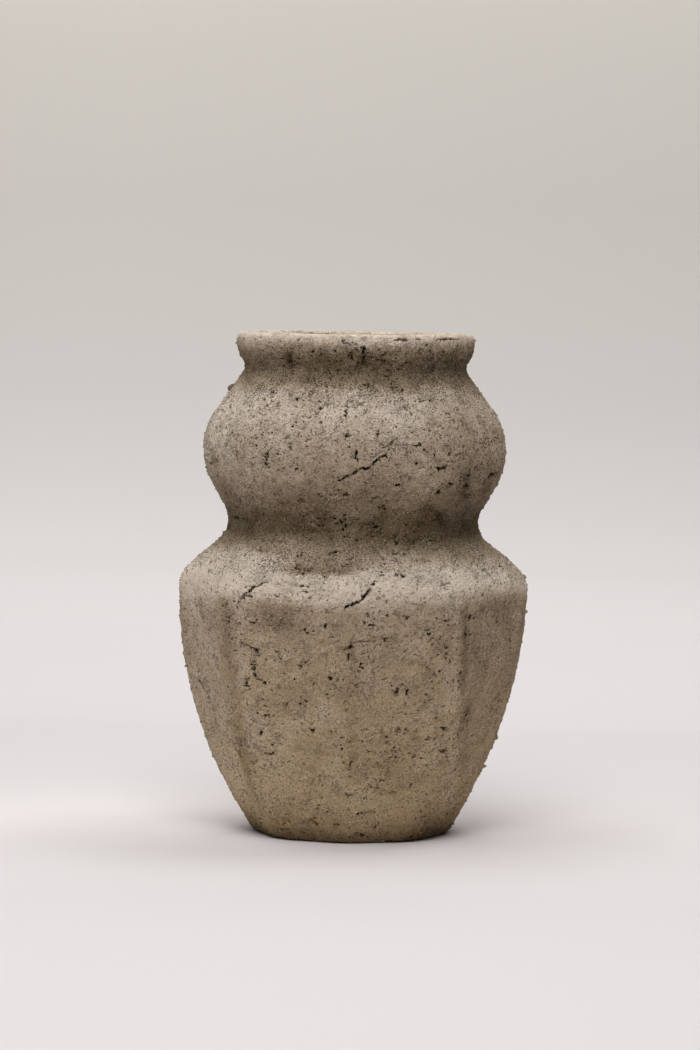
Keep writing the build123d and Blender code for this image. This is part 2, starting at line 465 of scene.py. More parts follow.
@dataclass(frozen=True)
class SharedGroups:
    """Makes the shader node groups that several materials use."""

    grain_softness: float = 0.35
    grain_span: Span = (0.15, 0.75)
    grain_weight: float = 0.45
    rough_size: float = 0.45
    rough_weight: float = 0.6
    lump_size: float = 3.2
    lump_weight: float = 0.7
    speck_wobble: float = 0.7
    wobble_scale: float = 2.2
    speck_core: float = 0.6
    speck_edge: float = 0.12
    tear_flatness: float = 1.7
    tear_crowd_size: float = 9.0
    tear_crowding: float = 0.05

    def new_group(
        self, group: Group, output: str, inputs: dict[str, float]
    ) -> tuple[NodeTree, bpy.types.Node, Socket]:
        """Makes an empty group with its sockets, and divides its place by its size.

        Args:
            group: Which group.
            output: Name of its one output, a value.
            inputs: Names and default values of its inputs beside the place.

        Returns:
            The helper for the group's nodes, its input node and the socket of the scaled place.
        """
        tree = bpy.data.node_groups.new(group.value, "ShaderNodeTree")
        tree.interface.new_socket("Place", in_out="INPUT", socket_type="NodeSocketVector")
        for name, value in inputs.items():
            socket = tree.interface.new_socket(name, in_out="INPUT", socket_type="NodeSocketFloat")
            socket.default_value = value
        tree.interface.new_socket(output, in_out="OUTPUT", socket_type="NodeSocketFloat")
        nodes = NodeTree(tree)
        source = nodes.add("NodeGroupInput")
        inputs = {0: source.outputs["Place"], 1: source.outputs["Size"]}
        return nodes, source, nodes.add("ShaderNodeVectorMath", inputs, operation="DIVIDE").outputs[0]

    def put_out(self, nodes: NodeTree, value: Socket) -> None:
        """Gives a value out of a group."""
        nodes.add("NodeGroupOutput", {0: value})

    def low_to_high(self, nodes: NodeTree, source: bpy.types.Node, value: Socket) -> Socket:
        """Turns a value into a soft mask between the group's Low and High, and gives its socket."""
        inputs = {0: value, 1: source.outputs["Low"], 2: source.outputs["High"]}
        return nodes.add("ShaderNodeMapRange", inputs, interpolation_type="SMOOTHSTEP").outputs[0]

    def build(self) -> None:
        """Makes all the groups."""
        self.build_grain()
        self.build_mottle()
        self.build_specks()
        self.build_tears()

    def build_grain(self) -> None:
        """Makes the height of sandy grain: rounded grains over finer roughness."""
        nodes, _, place = self.new_group(Group.GRAIN, "Height", {"Size": 1.4 * MM})
        inputs = {"Vector": place, "Scale": 1.0, "Smoothness": self.grain_softness}
        cells = nodes.add("ShaderNodeTexVoronoi", inputs, feature="SMOOTH_F1")
        grains = nodes.span(cells.outputs["Distance"], *self.grain_span, 1.0, 0.0)
        rough = nodes.noise(place, self.rough_size, 3.0, 0.6)
        lumps = nodes.noise(place, self.lump_size, 2.0, 0.5)
        grains = nodes.math("MULTIPLY", grains, self.grain_weight)
        total = nodes.math("ADD", grains, nodes.math("MULTIPLY", rough, self.rough_weight))
        self.put_out(nodes, nodes.math("ADD", total, nodes.math("MULTIPLY", lumps, self.lump_weight)))

    def build_mottle(self) -> None:
        """Makes a soft cloudy mask from 0 to 1."""
        nodes, source, place = self.new_group(Group.MOTTLE, "Mask", {"Size": 30 * MM, "Low": 0.38, "High": 0.62})
        self.put_out(nodes, self.low_to_high(nodes, source, nodes.noise(place, 1.0, 4.0, 0.6)))

    def build_specks(self) -> None:
        """Makes a mask of small scattered dots, only some of the cells holding one."""
        nodes, source, place = self.new_group(Group.SPECKS, "Mask", {"Size": 2.2 * MM, "Share": 0.25, "Radius": 0.3})
        wobble = nodes.add("ShaderNodeTexNoise", {"Vector": place, "Scale": self.wobble_scale}).outputs["Color"]
        inputs = {0: wobble, 1: (self.speck_wobble,) * 3, 2: place}
        shifted = nodes.add("ShaderNodeVectorMath", inputs, operation="MULTIPLY_ADD").outputs[0]
        cells = nodes.add("ShaderNodeTexVoronoi", {"Vector": shifted, "Scale": 1.0}, feature="F1")
        pick = nodes.add("ShaderNodeSeparateColor", {0: cells.outputs["Color"]})
        chosen = nodes.math("LESS_THAN", pick.outputs[0], source.outputs["Share"])
        size = nodes.math("MULTIPLY", source.outputs["Radius"], pick.outputs[1])
        core, edge = nodes.math("MULTIPLY", size, self.speck_core), nodes.math("ADD", size, self.speck_edge)
        inputs = dict(enumerate((cells.outputs["Distance"], core, edge, 1.0, 0.0)))
        near = nodes.add("ShaderNodeMapRange", inputs, interpolation_type="SMOOTHSTEP")
        self.put_out(nodes, nodes.math("MULTIPLY", near.outputs[0], chosen))

    def build_tears(self) -> None:
        """Makes a mask of ragged little tears, wider than high, that crowd together in places."""
        nodes, source, place = self.new_group(Group.TEARS, "Mask", {"Size": 2 * MM, "Low": 0.6, "High": 0.66})
        inputs = {0: place, 1: (1.0, 1.0, self.tear_flatness)}
        flat = nodes.add("ShaderNodeVectorMath", inputs, operation="MULTIPLY")
        ragged = nodes.noise(flat.outputs[0], 1.0, 4.0, 0.75)
        crowd = nodes.noise(place, self.tear_crowd_size, 2.0, 0.5)
        crowd = nodes.span(crowd, 0.35, 0.65, -self.tear_crowding, self.tear_crowding)
        self.put_out(nodes, self.low_to_high(nodes, source, nodes.math("ADD", ragged, crowd)))


def new_material(name: str) -> tuple[bpy.types.Material, NodeTree, bpy.types.Node]:
    """Makes a material with one Principled shader.

    Args:
        name: The material's name.

    Returns:
        The material, the helper for its nodes and its Principled node.
    """
    material = bpy.data.materials.new(name)
    material.use_nodes = True
    nodes = NodeTree(material.node_tree)
    shader = next(node for node in material.node_tree.nodes if node.type == "BSDF_PRINCIPLED")
    return material, nodes, shader


def finish_shader(
    nodes: NodeTree, shader: bpy.types.Node, colour: Socket, roughness: float, height: Socket, depth: float
) -> None:
    """Gives a shader its colour, its roughness and a bump whose height of 1 is a depth in metres."""
    bump = nodes.add("ShaderNodeBump", {"Strength": 1.0, "Distance": depth, "Height": height})
    nodes.put(shader, {"Base Color": colour, "Roughness": roughness, "Normal": bump.outputs["Normal"]})


@dataclass(frozen=True)
class MortarFinish:
    """Rough stone mortar: pale with wear and painted light where it stands proud, dark with grime and painted shade
    where it lies deep, sandy all over.
    """

    name: str = "stone mortar"
    # The mortar's three tones carry wear and stains together with painted light and shade.
    worn_and_lit: Colour = srgb(250, 233, 214)
    middle: Colour = srgb(211, 189, 162)
    grimy_and_shaded: Colour = srgb(118, 100, 73)
    # Near black painted shade at the cores of pits and cracks.
    pit_shade_colour: Colour = srgb(26, 21, 16)
    # Dark grit specks, and painted shade in pores and little tears.
    speck: Colour = srgb(48, 39, 28)
    warm: Colour = srgb(255, 246, 222)
    clay: Colour = srgb(104, 60, 44)
    roughness: float = 0.95
    shine: float = 0.2
    cloud_size: float = 22 * MM
    cloud_sway: float = 0.22
    middle_level: float = 0.6
    low_part: Span = (160 * MM, 20 * MM)
    patch_size: float = 9 * MM
    patch_strength: float = 0.28
    patch_crowding: float = 0.035
    pale_size: float = 1.2 * MM
    pale_strength: float = 0.6
    crowd_size: float = 15 * MM
    grit_crowding: Span = (-0.03, 0.03)
    cloud_crowding: Span = (-0.03, 0.02)
    speck_size: float = 0.95 * MM
    speck_span: Span = (0.61, 0.66)
    sand_span: Span = (0.36, 0.64)
    sand_strength: float = 0.48
    pore_size: float = 1.2 * MM
    tear_size: float = 4.0 * MM
    speck_strength_by_tone: Span = (1.0, 0.6)
    hollow_shade_strength: float = 0.5
    core_size: float = 0.9 * MM
    core_raggedness: Span = (0.3, 1.5)
    core_span: Span = (0.42, 0.74)
    grain_size: float = 1.0 * MM
    grain_depth: float = 0.7 * MM
    dark_depth: float = 0.9

    def build(self) -> bpy.types.Material:
        """Makes the material.

        Returns:
            The material.
        """
        material, nodes, shader = new_material(self.name)
        place = nodes.place()
        height = nodes.add("ShaderNodeSeparateXYZ", {0: place})
        cloud = nodes.noise(place, self.cloud_size, 6.0, 0.72)
        # A mask of wear and stains together with painted light and shade: lit edges and tops paler, the waist, the
        # neck and the darker side shaded.
        wear_and_shade = nodes.math("ADD", nodes.mask("wear_and_shade"), nodes.span(cloud, 0.3, 0.7, -self.cloud_sway, self.cloud_sway))
        colour = nodes.mix(nodes.span(wear_and_shade, 0.0, self.middle_level), self.grimy_and_shaded, self.middle)
        colour = nodes.mix(nodes.span(wear_and_shade, self.middle_level, 1.0), colour, self.worn_and_lit)
        colour = nodes.mix(nodes.span(height.outputs["Z"], *self.low_part), colour, self.warm, "MULTIPLY")
        patches = nodes.group(Group.MOTTLE, size=self.patch_size, low=0.5, high=0.68)
        colour = nodes.mix(nodes.math("MULTIPLY", patches, self.patch_strength), colour, self.grimy_and_shaded)
        pale_grains = nodes.group(Group.SPECKS, size=self.pale_size, share=0.3, radius=0.36)
        colour = nodes.mix(nodes.math("MULTIPLY", pale_grains, self.pale_strength), colour, self.worn_and_lit)
        grit = nodes.mask("grit")
        crowd = nodes.group(Group.MOTTLE, size=self.crowd_size, low=0.34, high=0.66)
        crowded = nodes.math(
            "ADD", nodes.span(grit, 0.5, 1.5, *self.grit_crowding), nodes.span(crowd, 0.0, 1.0, *self.cloud_crowding)
        )
        crowded = nodes.math("ADD", crowded, nodes.math("MULTIPLY", patches, self.patch_crowding))
        fine = nodes.noise(place, self.speck_size, 2.0, 0.8)
        sand = nodes.span(fine, *self.sand_span, 0.0, self.sand_strength)
        specks = nodes.span(nodes.math("ADD", fine, crowded), *self.speck_span)
        pores = nodes.group(Group.TEARS, size=self.pore_size, low=0.585, high=0.62)
        tears = nodes.group(Group.TEARS, size=self.tear_size, low=0.63, high=0.66)
        # Dark specks: partly dark grit in the mortar, partly painted shade in its pores and little tears; they fade
        # where the mortar is pale with wear and painted light.
        dark = nodes.math("MAXIMUM", nodes.math("MAXIMUM", sand, specks), nodes.math("MAXIMUM", pores, tears))
        strength = nodes.math("MULTIPLY", nodes.span(nodes.mask("wear_and_shade"), 0.2, 1.4, *self.speck_strength_by_tone), grit)
        colour = nodes.mix(nodes.math("MULTIPLY", dark, strength), colour, self.speck)
        # Painted shade in pits, cracks and recesses, and a painted contact shadow at the foot; near black painted
        # shade at their cores.
        hollow_shade = nodes.mask("hollow_shade")
        colour = nodes.mix(nodes.math("MULTIPLY", hollow_shade, self.hollow_shade_strength), colour, self.grimy_and_shaded)
        ragged = nodes.span(nodes.noise(place, self.core_size, 2.0, 0.7), 0.3, 0.7, *self.core_raggedness)
        cores = nodes.span(nodes.math("MULTIPLY", hollow_shade, ragged), *self.core_span)
        colour = nodes.mix(cores, colour, self.pit_shade_colour)
        colour = nodes.mix(nodes.mask("chip"), colour, self.clay)
        shader.inputs["Specular IOR Level"].default_value = self.shine
        grain = nodes.group(Group.GRAIN, size=self.grain_size)
        grain = nodes.math("SUBTRACT", grain, nodes.math("MULTIPLY", dark, self.dark_depth))
        finish_shader(nodes, shader, colour, self.roughness, grain, self.grain_depth)
        return material


@dataclass(frozen=True)
class ClayFinish:
    """Matte fired clay with fine pores."""

    name: str = "terracotta"
    red: Colour = srgb(150, 96, 70)
    pale: Colour = srgb(176, 128, 98)
    pore: Colour = srgb(84, 50, 36)
    roughness: float = 0.88
    cloud_size: float = 20 * MM
    pore_size: float = 2.0 * MM
    pore_strength: float = 0.6
    grain_size: float = 0.8 * MM
    grain_depth: float = 0.15 * MM

    def build(self) -> bpy.types.Material:
        """Makes the material.

        Returns:
            The material.
        """
        material, nodes, shader = new_material(self.name)
        cloud = nodes.group(Group.MOTTLE, size=self.cloud_size, low=0.35, high=0.7)
        colour = nodes.mix(cloud, self.red, self.pale)
        pores = nodes.group(Group.SPECKS, size=self.pore_size, share=0.2, radius=0.3)
        colour = nodes.mix(nodes.math("MULTIPLY", pores, self.pore_strength), colour, self.pore)
        grain = nodes.group(Group.GRAIN, size=self.grain_size)
        finish_shader(nodes, shader, colour, self.roughness, grain, self.grain_depth)
        return material


@dataclass(frozen=True)
class GlazeFinish:
    """Dull cream glaze, a little stained and pooled."""

    name: str = "lining glaze"
    cream: Colour = srgb(217, 203, 195)
    stain: Colour = srgb(176, 152, 128)
    speck: Colour = srgb(96, 74, 56)
    roughness: float = 0.55
    cloud_size: float = 24 * MM
    cloud_strength: float = 0.7
    speck_size: float = 3.0 * MM
    speck_strength: float = 0.6
    wave_size: float = 3.0 * MM
    wave_depth: float = 0.2 * MM

    def build(self) -> bpy.types.Material:
        """Makes the material.

        Returns:
            The material.
        """
        material, nodes, shader = new_material(self.name)
        cloud = nodes.group(Group.MOTTLE, size=self.cloud_size, low=0.42, high=0.75)
        colour = nodes.mix(nodes.math("MULTIPLY", cloud, self.cloud_strength), self.cream, self.stain)
        specks = nodes.group(Group.SPECKS, size=self.speck_size, share=0.12, radius=0.22)
        colour = nodes.mix(nodes.math("MULTIPLY", specks, self.speck_strength), colour, self.speck)
        waves = nodes.group(Group.GRAIN, size=self.wave_size)
        finish_shader(nodes, shader, colour, self.roughness, waves, self.wave_depth)
        return material


@dataclass(frozen=True)
class GrainFinish:
    """Broken stone: each grain has its own tone."""

    name: str = "grit stone"
    light: Colour = srgb(196, 180, 158)
    brown: Colour = srgb(112, 92, 70)
    roughness: float = 0.85
    vein_size: float = 1.5 * MM
    vein_strength: float = 0.4
    grain_size: float = 0.6 * MM
    grain_depth: float = 0.2 * MM

    def build(self) -> bpy.types.Material:
        """Makes the material.

        Returns:
            The material.
        """
        material, nodes, shader = new_material(self.name)
        colour = nodes.mix(nodes.mask("tone"), self.brown, self.light)
        veins = nodes.group(Group.MOTTLE, size=self.vein_size, low=0.35, high=0.7)
        colour = nodes.mix(nodes.math("MULTIPLY", veins, self.vein_strength), colour, self.brown)
        grain = nodes.group(Group.GRAIN, size=self.grain_size)
        finish_shader(nodes, shader, colour, self.roughness, grain, self.grain_depth)
        return material


@dataclass(frozen=True)
class Dent:
    """A pit or a lump of the coat, with sizes in millimetres."""

    length: float
    width: float
    depth: float
    lean: float = 0.0
    # How much the dent darkens: painted shade in its hollow, or the bared clay of a chip.
    stain: float = 0.8
    edge: float = 0.5


@dataclass(frozen=True)
class SeenCrack:
    """A crack placed by the pixels of the photograph that it runs through."""

    pixels: tuple[tuple[float, float], ...]
    width: float
    depth: float


CRACKS = tuple(SeenCrack(*row) for row in (
    ((
        (341, 479.4), (347, 476.7), (352.5, 474.3), (358, 470.9), (361.4, 468.2), (366, 469.3), (369.5, 468),
        (373, 463.8), (377.5, 460.6), (380.2, 457.5), (384.2, 456), (389, 449.5), (391.8, 445.9), (392.7, 441.9),
    ), 0.9, 1.8),
    (((384.6, 455.7), (387.8, 458.6)), 0.8, 1.0), (((333.5, 489), (336.4, 482.5), (341, 479.5)), 0.6, 0.7),
    (((232.5, 431), (227, 443), (222, 453)), 1.2, 1.6), (((216, 460), (209, 464), (204, 457)), 1.3, 1.8),
    (((237, 604), (243, 595), (253, 588), (262, 583), (268, 582)), 1.0, 1.5), (((243, 595), (253, 597)), 0.8, 1.0),
    (((370.6, 589.5), (366, 595), (359, 602.5), (352, 605), (346, 607), (344, 611)), 1.2, 1.8),
    (((440, 585.5), (447, 583.6)), 0.8, 1.0), (((514.5, 593), (510, 602.5)), 0.9, 1.2),
    (((241, 643), (260, 651)), 0.7, 0.9), (((254, 666), (256, 677), (262, 681.5)), 0.7, 0.9),
    (((300, 668.5), (309, 660)), 0.7, 0.8), (((199, 679), (206, 691), (212.5, 702)), 1.0, 1.4),
    (((350.5, 644), (360, 641), (375, 641.5)), 0.5, 0.4), (((439, 470), (443, 468), (447, 466)), 2.2, 2.2),
    (((436.5, 494), (441, 491)), 1.9, 2.0), (((483, 484), (488, 479), (492.5, 474)), 3.4, 1.8),
    (((493.5, 476), (497, 473)), 2.6, 1.5), (((464.5, 497), (470, 494.5)), 1.8, 1.8),
    (((464.5, 487.5), (469, 486)), 1.6, 1.5), (((266, 454), (265.7, 465)), 1.4, 1.5),
    (((363.5, 347), (363.7, 356), (362, 364)), 1.2, 0.8), (((291, 352), (290, 362)), 1.3, 0.8),
    (((457, 556.5), (457.6, 557.5)), 2.4, 2.4), (((332, 552.5), (337, 550.5)), 1.8, 1.6),
    (((235.5, 446), (236.5, 460)), 1.2, 0.7), (((439, 514), (441, 526)), 2.8, 1.2),
    (((449, 455), (451, 453)), 1.4, 1.3),
))


@dataclass(frozen=True)
class SeenTear:
    """A crumbly tear of the mortar: a crowd of little pits about a pixel of the photograph."""

    x: float
    y: float
    wide: float
    high: float
    pits: int


@dataclass(frozen=True)
class SeenShade:
    """A stretch of the mortar painted lighter or darker than the rest, along pixels of the photograph: partly stains
    and grime, partly painted light and shade.
    """

    pixels: tuple[tuple[float, float], ...]
    width: float
    change: float


LUMP = Dent(2.3, 1.9, -0.8, 0.0, 0.0)
LUMP_PIXELS = (
    (185, 654), (225, 533), (521.6, 572), (524, 607), (497, 734.6), (484, 763), (465, 801), (502, 554),
    (190.7, 679.4), (506, 697), (181.5, 600), (363, 338), (366, 338),
)
SEEN_TEARS = tuple(SeenTear(*row) for row in (
    (254, 622, 4, 3, 9), (239.4, 641.6, 3, 2, 4), (257.7, 651.3, 3, 2, 3), (254, 666, 4, 4, 9),
    (254, 675.7, 2, 2, 3), (262.6, 681.8, 2, 2, 4), (245.5, 684.2, 3, 5, 10), (243, 691.5, 4, 4, 5),
    (350.3, 646, 4, 9, 5), (349, 652.6, 2, 4, 3), (300.3, 666, 2, 3, 4), (276, 651.3, 3, 1, 3),
    (305, 630.6, 3, 2, 4), (326, 623, 1, 2, 2), (329.6, 679.4, 3, 3, 5), (302.8, 700, 4, 5, 5),
    (267.4, 716, 4, 1, 3), (312.5, 730.5, 3, 1, 2), (260, 734, 3, 2, 5), (274.7, 742.7, 4, 4, 5),
    (237, 755, 4, 3, 6), (267.4, 754, 5, 2, 6), (185.8, 606.3, 2, 5, 7), (200.5, 603.8, 1, 1, 2),
    (207.8, 621, 1, 2, 3), (198, 631.9, 1, 1, 2), (226, 603.8, 1, 2, 2), (213.8, 658.7, 3, 5, 6),
    (228.5, 621, 2, 6, 4), (300.3, 585.6, 6, 1, 5), (302.8, 591.7, 5, 1, 5), (304, 571, 8, 2, 9),
    (326, 577, 3, 1, 3), (381.4, 566, 4, 4, 7), (398.5, 574.6, 4, 3, 8), (419.2, 578.3, 2, 3, 5),
    (500.8, 567.3, 4, 4, 9), (510.5, 579.5, 1, 5, 6), (371.7, 625.3, 4, 1, 7), (383.8, 639.2, 3, 2, 6),
    (360.7, 666, 1, 3, 6), (404.6, 618.5, 4, 3, 3), (421.6, 605, 2, 1, 2), (426.5, 633, 5, 3, 5),
    (471.5, 617, 8, 3, 7), (465.5, 634.3, 6, 3, 9), (492.3, 645.7, 3, 2, 7), (447.2, 650, 2, 4, 5),
    (450.8, 661, 1, 2, 3), (437.4, 674.5, 6, 3, 5), (397.2, 691.5, 3, 3, 9), (407, 691.5, 2, 1, 3),
    (459.4, 681.8, 5, 4, 10), (465.5, 713.5, 5, 5, 8), (399.7, 729.3, 4, 3, 8), (442.3, 728, 6, 1, 8),
    (442.3, 750, 3, 2, 6), (413, 753.7, 4, 4, 4), (500.8, 700, 2, 2, 3), (272.8, 391.5, 2, 1, 5),
    (266.3, 406.7, 1, 1, 2), (309.9, 417, 1, 1, 2), (321.2, 422.4, 1, 1, 3), (267.4, 432.3, 3, 2, 5),
    (255.4, 439.4, 1, 2, 2), (266.3, 459.5, 2, 7, 12), (299, 339.6, 1, 1, 2), (290.3, 359.2, 3, 6, 8),
    (344.8, 342.9, 2, 2, 4), (351, 355, 4, 4, 6), (312, 352.7, 2, 2, 4), (296.8, 398.5, 4, 3, 5),
    (344.8, 408.3, 4, 5, 6), (223.8, 484.6, 1, 2, 4), (239, 506.4, 1, 2, 4), (345.8, 494.4, 4, 2, 9),
    (302, 498.7, 4, 3, 5), (364, 352.7, 3, 7, 12), (361.8, 364.7, 3, 2, 4), (430.5, 354.9, 2, 6, 5),
    (368.3, 385.4, 3, 3, 8), (356.3, 384.3, 3, 1, 3), (423.9, 400.2, 5, 1, 7), (391.2, 401.7, 1, 1, 2),
    (396.7, 426.8, 2, 1, 3), (357.4, 455, 2, 4, 4), (409.7, 452.5, 3, 1, 4), (421.7, 445.3, 4, 4, 4),
    (434.8, 455, 1, 2, 2), (449, 454, 1, 2, 3), (442.4, 468.2, 4, 2, 10), (467.5, 475.2, 5, 3, 8),
    (486, 481, 3, 4, 9), (491, 476, 3, 3, 7), (496.9, 473.7, 3, 1, 5), (451.2, 485.6, 3, 3, 6),
    (439.2, 492.2, 3, 1, 7), (467.5, 485.6, 4, 2, 8), (467.5, 495.5, 5, 3, 8), (398.8, 484.6, 1, 1, 3),
    (376, 498.7, 4, 1, 4), (381.4, 506.4, 5, 4, 5), (416.3, 464.3, 1, 1, 3), (475, 517, 2, 3, 5),
    (334, 552, 4, 2, 7), (457.4, 557, 2, 2, 7), (394, 554, 4, 1, 5), (363.5, 835, 3, 1, 3), (439, 521, 5, 8, 14),
    (376, 529, 5, 5, 8), (342, 523, 6, 4, 8), (322, 520, 5, 5, 7), (256, 518, 3, 6, 7), (396, 542, 3, 7, 8),
    (467, 529, 5, 4, 8), (350.5, 796, 3, 2, 7), (359, 814, 4, 1, 5), (380, 781, 4, 1, 4), (441, 783, 3, 2, 4),
    (318, 808, 4, 2, 4), (350, 766, 2, 4, 6),
))
# Stretches painted lighter or darker: partly stains and grime, partly painted light and shade along facet edges, the
# shoulder and the lip.
SEEN_SHADES = tuple(SeenShade(*row) for row in (
    (((262, 604), (276, 614), (288, 610)), 8, -0.22), (((262, 620), (290, 622)), 6, -0.12),
    (((225, 600), (228, 640), (233, 690), (242, 740), (252, 790)), 6.5, -0.17),
    (((240, 630), (243, 690), (252, 750)), 3.5, 0.1), (((196, 566), (225, 560), (250, 562)), 8, 0.2),
    (((238, 599), (272, 589), (300, 583), (330, 580), (360, 578)), 3.5, 0.3),
    (((360, 578), (400, 585), (430, 588), (455, 590)), 3.5, 0.25), (((190, 579), (228, 584)), 3.5, 0.15),
    (((278, 569), (320, 573), (342, 570)), 4, -0.3), (((464, 596), (465, 640), (464, 690)), 3.5, -0.32),
    (((456, 600), (456, 645)), 1.8, 0.15), (((462, 577), (500, 582)), 5, 0.2), (((470, 600), (500, 610)), 6, -0.1),
    (((466, 710), (462, 760)), 6, -0.2), (((351, 640), (352, 700), (353, 780)), 4, -0.1),
    (((395, 560), (430, 566)), 7, 0.12), (((203, 600), (209, 650), (217, 700)), 4.5, -0.06),
    (((486, 440), (486, 490)), 5, -0.2), (((240, 343), (262, 345)), 3, 0.25), (((370, 700), (400, 760)), 12, -0.08),
    (((290, 700), (320, 690)), 12, -0.08), (((246, 340), (300, 341), (350, 342), (400, 342), (466, 343)), 1.8, 0.2),
    (((290, 357), (291, 364)), 3, -0.3), (((350, 352), (366, 358)), 5, -0.25), (((395, 420), (400, 440)), 8, 0.1),
    (((300, 425), (330, 440)), 8, 0.1), (((455, 710), (450, 790)), 10, 0.16), (((236, 730), (252, 790)), 9, -0.14),
    (((290, 583), (345, 581), (362, 580)), 4, 0.25), (((470, 566), (505, 578)), 5, 0.2),
    (((395, 343), (455, 344)), 3, 0.3), (((467, 472), (466, 492)), 5, -0.25), (((425, 505), (445, 528)), 6, -0.2),
    (((290, 569), (345, 574), (400, 570)), 4, -0.15),
))
CHIP_LINE = 339.3
CHIP_RUNS = ((395, 407), (417, 419.5), (437, 458))


@dataclass
class StoneCoat:
    """The rough skin of stone mortar, from its hem on the foot over the side to its end inside the lip."""

    camera: PhotoCamera
    columns: int = 1260
    side_rows: int = 620
    read_columns: int = 420
    hem_rows: int = 18
    lip_rows: int = 30
    hem_core: tuple[float, float] = (55.5 * MM, 3.5 * MM)
    lip_core: tuple[float, float] = (66.2 * MM, 297.2 * MM)
    fan_reach: float = 12 * MM
    side_low: float = 3.6 * MM
    side_high: float = 296.6 * MM
    side_reads: int = 900
    clear_of_side: float = 0.2
    hem_turn: float = 105.0
    lip_turn: float = 195.0
    corner_blur: float = 2.0
    row_blur: int = 2
    seed: int = 11
    palest: float = 1.85
    darkest: float = 0.38
    near_lip: Span = (280.0, 292.0)
    on_lip: Span = (296.0, 298.0)
    lip_roughness_lost: float = 0.6
    broad_layers: tuple[tuple[Layer, Span], ...] = (
        (Layer(1, 52), (0.7, 0.2)), (Layer(2, 19), (0.28, 0.15)),
    )
    small_layers: tuple[Layer, ...] = (
        Layer(9, 7, 0.2), Layer(3, (8, 8, 2.6), 0.2), Layer(4, 2.7, 0.26), Layer(5, 1.2, 0.3),
    )
    grain_layer: Layer = Layer(6, 1.5)
    grain_least: float = 0.35
    grain_height: float = 0.7
    crumble_layers: tuple[Layer, ...] = (
        Layer(41, (3.4, 3.4, 2.21), 0.5), Layer(42, (1.7, 1.7, 1.105), 0.4), Layer(43, (1.0, 1.0, 0.65), 0.25),
    )
    crumble_crowd: Layer = Layer(44, 17, 0.16)
    crumble_spared: float = 0.08
    crumble_from: float = 0.46
    crumble_over: float = 0.14
    crumble_depth: float = 0.55 * MM
    # Painted shade in crumbled pits.
    crumble_shade: float = 0.75
    side_waver: Layer = Layer(32, 40, 12)
    grit_waver: Layer = Layer(34, 12, 4)
    tone_waver: Layer = Layer(31, 30, 4)
    shade_waver: Layer = Layer(33, 6, 0.35)
    dent_waver: Layer = Layer(7, 1.2)
    dent_margin: float = 0.75
    dent_raggedness: float = 0.9
    random_pits: int = 6500
    pit_layers: tuple[Layer, ...] = (Layer(8, 20, 0.9), Layer(35, 7, 0.9))
    pit_biggest: float = 2.6
    hollow_step: float = 0.5 * MM
    hollow_span: Span = (0.2, 0.7)
    foot_shadow_height: float = 1.7
    still_rows: int = 6
    table_gap: float = 0.3 * MM
    sand_grains: int = 14000
    sand_radius: tuple[float, float, float] = (0.42, 0.2, 1.1)
    sand_lift: float = 0.05 * MM
    # Painted light and shade by height in millimetres and tone: a painted contact shadow at the foot, painted shade
    # at the waist and under the lip, painted light on the shoulder edge, the belly and the lip.
    painted_light_by_height: Table = (
        (0, 0.2), (2, 0.4), (5, 0.7), (10, 1.1), (16, 1.35), (27, 1.58), (60, 1.42), (81, 1.37), (129, 1.2),
        (141, 1.3), (147, 1.85), (151, 2.1), (157, 1.95), (164, 1.78), (173, 1.1), (182, 0.44), (190, 0.52),
        (199, 0.82), (212, 1.14), (226, 1.32), (240, 1.38), (256, 1.72), (266, 1.56), (273, 0.86), (280, 0.56),
        (286, 0.64), (290, 0.84), (294, 1.25), (297, 1.7), (300, 1.7),
    )
    # Painted light and shade by degrees round from the camera and tone: lighter on the left, darker on the right,
    # stepping at the facets' corners.
    painted_light_by_side: Table = (
        (-180, 1.0), (-110, 1.05), (-60, 1.25), (-40, 1.08), (-25, 1.0), (0, 1.0), (33, 0.98), (41, 0.88),
        (60, 0.88), (110, 0.9), (180, 1.0),
    )
    grit_by_height: Table = (
        (0, 0.8), (20, 0.72), (140, 0.72), (147, 0.5), (156, 0.65), (163, 1.1), (178, 1.2), (186, 1.1), (205, 0.85),
        (240, 0.85), (256, 1.0), (272, 1.2), (282, 1.1), (295, 0.9), (298, 0.5), (300, 0.5),
    )
    grit_by_side: Table = ((0, 1.0), (28, 1.0), (45, 1.2), (75, 1.25), (110, 1.1), (180, 1.1))
    places: np.ndarray = field(init=False, repr=False)
    squares: np.ndarray = field(init=False, repr=False)
    row_pitch: np.ndarray = field(init=False, repr=False)
    column_pitch: np.ndarray = field(init=False, repr=False)
    ragged: np.ndarray = field(init=False, repr=False)
    sunk: np.ndarray = field(init=False, repr=False)
    wear_and_shade: np.ndarray = field(init=False, repr=False)
    hollow_shade: np.ndarray = field(init=False, repr=False)
    chip: np.ndarray = field(init=False, repr=False)

    def __post_init__(self) -> None:
        """Reads the CAD coat and sets up the random numbers."""
        self.face = SolidFace(Node.COAT)
        self.random = np.random.default_rng(self.seed)

    def side_heights(self) -> np.ndarray:
        """Spreads the side's rows by equal lengths along its outline.

        Returns:
            Heights of the rows.
        """
        fine = np.linspace(self.side_low, self.side_high, self.side_reads)
        reach = np.array([self.hit_side(0.0, height) for height in fine])
        steps = np.hypot(np.diff(fine), np.diff(reach))
        length = np.concatenate([[0.0], np.cumsum(steps)])
        return np.interp(np.linspace(0, length[-1], self.side_rows), length, fine)

    def hit_side(self, turn: float, height: float) -> float:
        """Measures the CAD coat's reach from the axis.

        Args:
            turn: Angle from +X.
            height: Height above the table.

        Returns:
            The reach.
        """
        way = Vector((math.cos(turn), math.sin(turn), 0))
        place = self.face.hit(way * self.clear_of_side + Vector((0, 0, height)), -way)
        return math.hypot(place.x, place.y)

